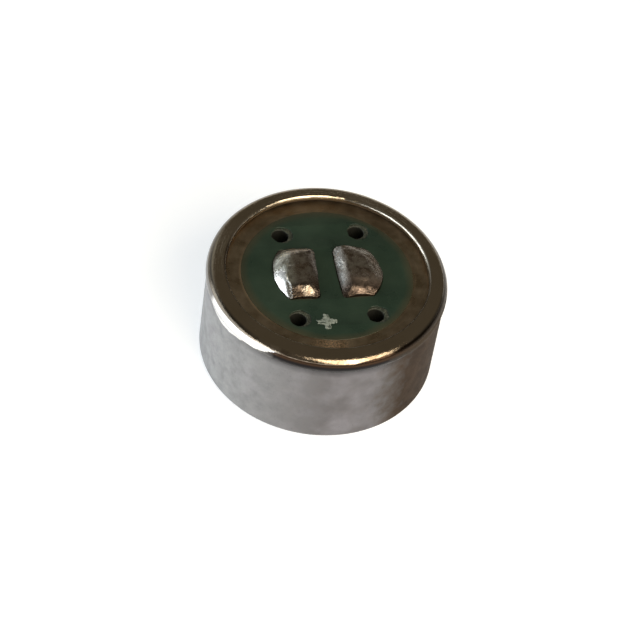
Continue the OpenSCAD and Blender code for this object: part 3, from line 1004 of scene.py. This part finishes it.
plus_mark.data.materials.append(printed_white())
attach(plus_mark, "root")
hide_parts("polarity_mark")


# Terminal solder
# The maker tins each terminal by hand with a full dome of solder, which also runs down the plated
# hole. It froze with flats, creases and a pulled corner where the iron left it.
solder_low, solder_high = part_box("positive_solder")
dome_base_z = copper_high.z
dome_h = solder_high.z - dome_base_z
dome_drawn_in = 0.015
dome_rings = 56
ring_spread = 1.5
crown_fall = 0.05
wall_power = 30
flat_softness = 0.075 * mm
bevel_foot_r = 2.17 * mm
bevel_front_lift = 0.02 * mm
bevel_back_lift = 0.12 * mm
bevel_front_slope = 50
bevel_back_slope = 31
bevel_turn = 0.5 * mm
lump_size = 0.58 * mm
dimple_size = 0.22 * mm
lump_level = 2 * mm
lump_h = 0.036 * mm
lump_fade_h = 0.12 * mm
hole_fill_r = 0.15 * mm
bare_spot = (-0.96 * mm, -1.02 * mm, 0)
bead_places = {
    -1: ((-0.50, 1.12, 0.16, 0.045), (-0.98, -0.84, 0.19, 0.085), (-1.36, -0.80, 0.12, 0.040)),
    1: ((0.62, 0.95, 0.22, 0.020), (0.86, -0.95, 0.16, 0.050), (1.18, -1.02, 0.14, 0.044)),
}
drawn_flats = {
    -1: ((-8, 31, 0.12), (35, 34, 0.10), (90, 44, 0.20), (135, 40, 0.14), (180, 38, 0.12), (-145, 32, 0.07)),
    1: ((-90, 42, 0.06), (-48, 36, 0.06), (-4, 30, 0.13), (42, 30, 0.10), (95, 34, 0.10), (150, 34, 0.12)),
}
solder_bright = (0.54, 0.50, 0.44)
solder_dull = (0.30, 0.245, 0.19)
vein_brown = (0.14, 0.09, 0.06)
# Painted reflection: the pale left flanks of the domes.
positive_left_sheen = (0.90, 0.94, 0.85)
ground_left_sheen = (0.41, 0.42, 0.41)
shaded_brown = (0.100, 0.078, 0.074)
# Painted highlight: the warm sheen on the ground dome.
warm_sheen_pink = (0.46, 0.37, 0.315)
thick_flux = (0.060, 0.042, 0.032)
thin_flux = (0.26, 0.19, 0.145)
# Flux that is partly a painted highlight.
flux_with_pink_sheen = (0.52, 0.40, 0.34)
left_flux = (0.070, 0.048, 0.034)
foot_brown = (0.055, 0.042, 0.030)
# Partly a painted highlight: the near white of the drawn bevel.
bevel_highlight_white = (0.90, 0.91, 0.90)


def soft_lowest(heights, softness):
    """The lowest of a few heights, rounded where they cross."""
    lowest = min(heights)
    return lowest - softness * math.log(sum(math.exp((lowest - height) / softness) for height in heights))


def placed_flats(side, outline):
    """The flats that the iron drew on a dome. Each is listed by its azimuth, which runs in degrees
    from -Y towards +X, its slope in degrees and its start in millimetres, and touches the outline."""
    flats = []
    for azimuth, slope, start in drawn_flats[side]:
        turn = math.radians(azimuth)
        way = Vector((math.sin(turn), -math.cos(turn)))
        reach = max(point.dot(way) for point in outline)
        flats.append((way, reach, math.tan(math.radians(slope)), start * mm))
    return flats


def dome_height(side, share, place, flats):
    """Height of a dome over its base, at a share of the way from its middle to its edge: a full top
    cut by the flats, over a short steep wall. Along the positive dome's arc the iron drew one bright
    bevel, which steepens towards the front. Each bead is listed by its place, its radius and its
    height in millimetres."""
    heights = [dome_h * (1 - crown_fall * share ** 2)]
    for way, reach, climb, start in flats:
        heights.append(start + (reach - place.dot(way)) * climb)
    if side < 0:
        back = min(1, max(0, 0.5 + place.y / (2 * bevel_turn)))
        back = back * back * (3 - 2 * back)
        slope = bevel_front_slope + (bevel_back_slope - bevel_front_slope) * back
        foot = bevel_front_lift + (bevel_back_lift - bevel_front_lift) * back
        heights.append(foot + (bevel_foot_r - place.length) * math.tan(math.radians(slope)))
    rise = soft_lowest(heights, flat_softness)
    rise = max(0, min(rise, dome_h * math.sqrt(1 - share ** wall_power)))
    spot = Vector((place.x, place.y, side * lump_level))
    lumps = noise.noise(spot / lump_size) + 0.35 * noise.noise(spot / dimple_size)
    beads = 0
    for bead_x, bead_y, bead_r, bead_h in bead_places[side]:
        away = (place - Vector((bead_x, bead_y)) * mm).length / (bead_r * mm)
        beads += bead_h * mm * math.exp(-away ** 2)
    fade = min(1, rise / lump_fade_h)
    return max(0, min(dome_h, rise + fade * (lump_h * lumps + beads)))


def solder_dome(name, side):
    """A sculpted dome over its terminal, closed underneath, and the solder that fills its hole."""
    outline, middle = terminal_opening(side, dome_drawn_in)
    flats = placed_flats(side, outline)
    shape = bmesh.new()
    layers = []
    for layer in range(dome_rings):
        share = 1 - (layer / dome_rings) ** ring_spread
        loop = []
        for point in outline:
            place = middle.lerp(point, share)
            height = 0 if layer == 0 else dome_height(side, share, place, flats)
            loop.append(shape.verts.new((place.x, place.y, dome_base_z + height)))
        layers.append(loop)
    peak = shape.verts.new((middle.x, middle.y, dome_base_z + dome_height(side, 0, middle, flats)))
    base = shape.verts.new((middle.x, middle.y, dome_base_z))
    count = len(outline)
    for k in range(count):
        following = (k + 1) % count
        for low, high in zip(layers, layers[1:]):
            shape.faces.new((low[k], low[following], high[following], high[k]))
        shape.faces.new((layers[-1][k], layers[-1][following], peak))
        shape.faces.new((layers[0][following], layers[0][k], base))
    bmesh.ops.recalc_face_normals(shape, faces=shape.faces)
    fill = [(0, solder_low.z), (hole_fill_r, solder_low.z)]
    fill += [(hole_fill_r, dome_base_z), (0, dome_base_z)]
    plug = lathe(fill, drill_steps)
    bmesh.ops.translate(plug, verts=plug.verts, vec=(side * drill_x, drill_y, 0))
    add_shape(shape, plug)
    return made_object(name, shape, sharp_above=70)


def frozen_solder():
    """Bright solder, dulled in patches and veined brown. The left of each dome carries a painted pale
    reflection, the ground dome's near half a painted warm sheen, and the near flanks lie under brown
    flux, paler on the ground dome as a painted highlight. The positive dome's drawn bevel is near white,
    partly a painted highlight."""
    finish, place = new_finish("frozen solder", (0.55, 0.52, 0.47), 0.2, 1.0)
    patches = grain(place, 0.5 * mm, 5.0, 0.68)
    veins = grain(place, 0.22 * mm, 4.0, 0.7)
    frost = grain(place, 0.05 * mm, 4.0, 0.7)
    across, along, height = add_node("ShaderNodeSeparateXYZ", {0: place}).outputs
    ragged = times(minus(veins, 0.5), 0.5 * mm)
    ragged_along = plus(along, ragged)

    ground_left = times(remap_mm(across, 0.1, 0.2), remap_mm(across, 0.55, 0.85, 1, 0))
    # Painted reflection: the left flank of each dome is pale, as the lights on the left make it look.
    left_sheen = larger(remap_mm(across, -1.70, -1.30, 1, 0), ground_left)
    left_sheen = times(left_sheen, remap(veins, 0.42, 0.60, 1, 0.55))
    left_sheen_color = mix_colors(remap_mm(across, -0.1, 0.1), positive_left_sheen, ground_left_sheen)
    shaded = times(remap_mm(across, -0.95, -0.50, 0, 0.5), remap_mm(across, -0.1, 0, 1, 0))
    # Painted highlight: a warm sheen on the ground dome's near half.
    warm_sheen = times(remap_mm(ragged_along, -0.80, -0.05, 0.8, 0), remap_mm(across, 0.6, 1.0))

    off_bare = plus(vector_maths("DISTANCE", off_axis(place), bare_spot)["Value"], ragged)
    fluxed = times(
        remap_mm(ragged_along, -0.90, -0.62, 1, 0),
        remap_mm(off_bare, 0.12, 0.30, 0, 0.85),
    )
    # Partly a painted highlight: the flux on the ground dome is paler and pinkish.
    pink_sheen = times(remap_mm(across, 0, 0.1, 0, 0.5), remap(veins, 0.40, 0.56, 1, 0.2))
    flux = mix_colors(remap(veins, 0.38, 0.52, 1, 0), thick_flux, thin_flux)
    flux = mix_colors(pink_sheen, flux, flux_with_pink_sheen)
    left_fluxed = times(fluxed, remap_mm(across, -1.25, -1.10, 0.6, 0))

    # The positive dome's drawn bevel, near white where the window's highlight falls: partly a painted
    # highlight.
    bevelled = times(
        remap_mm(plus(axis_distance(place), ragged), 1.76, 1.84),
        remap_mm(plus(across, ragged), -1.68, -1.62, 1, 0),
        remap_mm(ragged_along, 0.05, 0.25, 1, 0),
        remap_mm(height, 0.015, 0.04, start=dome_base_z),
    )
    color = painted(
        mix_colors(remap(patches, 0.42, 0.60), solder_bright, solder_dull),
        (remap(veins, 0.48, 0.62, 0, 0.75), vein_brown),
        (left_sheen, left_sheen_color),
        (shaded, shaded_brown),
        (warm_sheen, warm_sheen_pink),
        (fluxed, flux),
        (left_fluxed, left_flux),
        (remap_mm(height, 0.05, 0.18, 0.9, 0, dome_base_z), foot_brown),
        (bevelled, bevel_highlight_white),
    )
    rough = plus(remap(patches, 0.4, 0.62, 0.10, 0.24), remap(frost, 0.4, 0.7, 0, 0.1))
    for share, coat_rough in ((warm_sheen, 0.40), (fluxed, 0.28), (bevelled, 0.12)):
        rough = mix_values(share, rough, coat_rough)
    calm = remap(bevelled, 0, 1, 1, 0.2)
    bumps = relief((times(patches, calm), 0.040), (times(veins, calm), 0.018), (frost, 0.006))
    return wired(finish, color, Roughness=rough, Normal=bumps)


solder = frozen_solder()
for side, node in ((-1, "positive_solder"), (1, "ground_solder")):
    dome = solder_dome(node.replace("solder", "dome"), side)
    dome.data.materials.append(solder)
    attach(dome, "root")
    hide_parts(node)


# Inner face of the board
# The same lacquer and copper on the face that looks into the capsule, with three pieces of copper
# for the gate, the drain and the source.
refinish("inner_mask", lacquer)
for node in ("gate_copper", "drain_copper", "source_copper"):
    refinish(node, bronze)


# Vent cloth
# A ring of the black felt is glued behind the four vents, whose dark look is painted shade down their
# walls, and it sets how slowly the rear sound comes in.
vent_felt_inner_r = 2.357 * mm
rear_ring = felt_disc("vent_felt", "rear_cloth", vent_felt_inner_r, 8.5)
rear_ring.data.materials.append(felt)
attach(rear_ring, "root")
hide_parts("rear_cloth")


# Transistor, capacitors and their solder
# A moulded field effect transistor with three bent leads and two chip capacitors are soldered to the
# inner copper.


def moulding_resin():
    """Black filled resin with a matt moulded face."""
    finish, place = new_finish("moulding resin", (0.018, 0.018, 0.020), 0.55, IOR=1.5)
    filler = grain(place, 0.03 * mm, 3.0, 0.7)
    return speckled(finish, filler, (0.012, 0.012, 0.013), (0.030, 0.030, 0.032), 0.006, (0.48, 0.66))


def tinned_metal():
    """Matt tin over the leads and the capacitors' ends."""
    finish, place = new_finish("tinned metal", (0.62, 0.62, 0.63), 0.36, 1.0)
    frost = grain(place, 0.05 * mm, 3.0, 0.6)
    return speckled(finish, frost, (0.55, 0.55, 0.56), (0.70, 0.70, 0.70), 0.004, (0.28, 0.46))


def fired_ceramic():
    """Brown fired ceramic of a chip capacitor."""
    finish, place = new_finish("fired ceramic", (0.36, 0.24, 0.14), 0.5)
    fired = grain(place, 0.08 * mm, 4.0, 0.6)
    return speckled(finish, fired, (0.30, 0.19, 0.11), (0.44, 0.31, 0.20), 0.005)


tin = tinned_metal()
refinish("transistor_body", moulding_resin())
refinish("transistor_leads", tin)
refinish("capacitor_bodies", fired_ceramic())
refinish("capacitor_ends", tin)
refinish("inner_solder", solder)


# Floor, light and camera
# The capsule stands on its front face on a plain white floor. A low window to the left gives the roll
# its white edge, and a dim light behind it helps. A large warm lamp to the right gives the near rim
# its gold, and the sky is pale low down and brown above.
floor_half = 1.5
floor_glow = 0.72
floor_tooth = 2 * mm
pale_light = (0.93, 0.97, 1.0)
blue_light = (0.86, 0.94, 1.0)
warm_light = (1.0, 0.86, 0.66)
horizon_white = (0.85, 0.84, 0.82)
sky_brown = (0.11, 0.098, 0.078)
capsule_middle = Vector((0, 0, 2.25 * mm))
lamp_distance = 90 * mm
view_azimuth = -16.93
view_elevation = 47.73
view_roll = 9.65
view_distance = 100 * mm
px_per_mm = 24.395
picture_px = 640
sensor_w = 36
middle_px = Vector((321.0, 311.7))


def white_floor():
    """A plain pale floor that the camera, metal and glass see as white, with the capsule's shadow."""
    finish, place = new_finish("white floor", (0.6, 0.6, 0.6), 0.9, Specular_IOR_Level=0.1)
    tree = finish.node_tree
    ray = add_node("ShaderNodeLightPath", {}, tree).outputs
    seen = larger(larger(ray["Is Camera Ray"], ray["Is Glossy Ray"]), ray["Is Transmission Ray"])
    light = {"Color": (*pale_light, 1), "Strength": times(seen, floor_glow)}
    glow = add_node("ShaderNodeEmission", light).outputs[0]
    lit = tree.nodes["Principled BSDF"].outputs[0]
    both = add_node("ShaderNodeAddShader", {0: lit, 1: glow}).outputs[0]
    tree.links.new(both, tree.nodes["Material Output"].inputs["Surface"])
    return wired(finish, mix_colors(grain(place, floor_tooth, 2.0), (0.59, 0.59, 0.59), (0.61, 0.61, 0.61)))


def towards(azimuth, elevation):
    """The direction at an azimuth, which runs in degrees from -Y towards +X, and an elevation."""
    turn, up = math.radians(azimuth), math.radians(elevation)
    return Vector((math.sin(turn) * math.cos(up), -math.cos(turn) * math.cos(up), math.sin(up)))


def soft_lamp(name, azimuth, elevation, size, power, color):
    """A rectangular lamp that faces the capsule. Azimuth 0 is the camera's own side."""
    lamp = bpy.data.lights.new(name, "AREA")
    lamp.shape = "RECTANGLE"
    lamp.size, lamp.size_y = size
    lamp.energy = power
    lamp.color = color
    holder = bpy.data.objects.new(name, lamp)
    bpy.context.scene.collection.objects.link(holder)
    place = capsule_middle + towards(azimuth + view_azimuth, elevation) * lamp_distance
    holder.location = place
    holder.rotation_euler = (place - capsule_middle).to_track_quat("Z", "Y").to_euler()


floor_shape = bmesh.new()
bmesh.ops.create_grid(floor_shape, x_segments=8, y_segments=8, size=floor_half)
floor = made_object("floor", floor_shape)
floor.data.materials.append(white_floor())

soft_lamp("window", -70, 14, (140 * mm, 45 * mm), 0.050, pale_light)
soft_lamp("sky_light", -122, 24, (76 * mm, 48 * mm), 0.0038, blue_light)
soft_lamp("warm_key", 40, 40, (76 * mm, 76 * mm), 0.100, warm_light)

world = bpy.data.worlds.new("studio")
bpy.context.scene.world = world
world.use_nodes = True
sky = world.node_tree
direction = add_node("ShaderNodeTexCoord", {}, sky).outputs["Generated"]
rise = add_node("ShaderNodeSeparateXYZ", {0: direction}).outputs[2]
sky_color = mix_colors(remap(rise, 0.08, 0.22), horizon_white, sky_brown)
sky.links.new(sky_color, sky.nodes["Background"].inputs["Color"])

camera_data = bpy.data.cameras.new("camera")
camera = bpy.data.objects.new("camera", camera_data)
bpy.context.scene.collection.objects.link(camera)
bpy.context.scene.camera = camera
back = towards(view_azimuth, view_elevation)
turn, lean = math.radians(view_azimuth), math.radians(view_roll)
level = Vector((math.cos(turn), math.sin(turn), 0))
upright = back.cross(level)
side_axis = math.cos(lean) * level + math.sin(lean) * upright
top_axis = -math.sin(lean) * level + math.cos(lean) * upright
offset = Vector((picture_px / 2, picture_px / 2)) - middle_px
spot = capsule_middle + back * view_distance
spot += side_axis * offset.x / px_per_mm * mm - top_axis * offset.y / px_per_mm * mm
camera.matrix_world = Matrix((
    (side_axis.x, top_axis.x, back.x, spot.x),
    (side_axis.y, top_axis.y, back.y, spot.y),
    (side_axis.z, top_axis.z, back.z, spot.z),
    (0, 0, 0, 1),
))
camera_data.sensor_width = sensor_w
camera_data.lens = px_per_mm / mm * view_distance * sensor_w / picture_px
camera_data.clip_start = 1 * mm
camera_data.clip_end = 10
bpy.context.scene.view_settings.view_transform = "Standard"
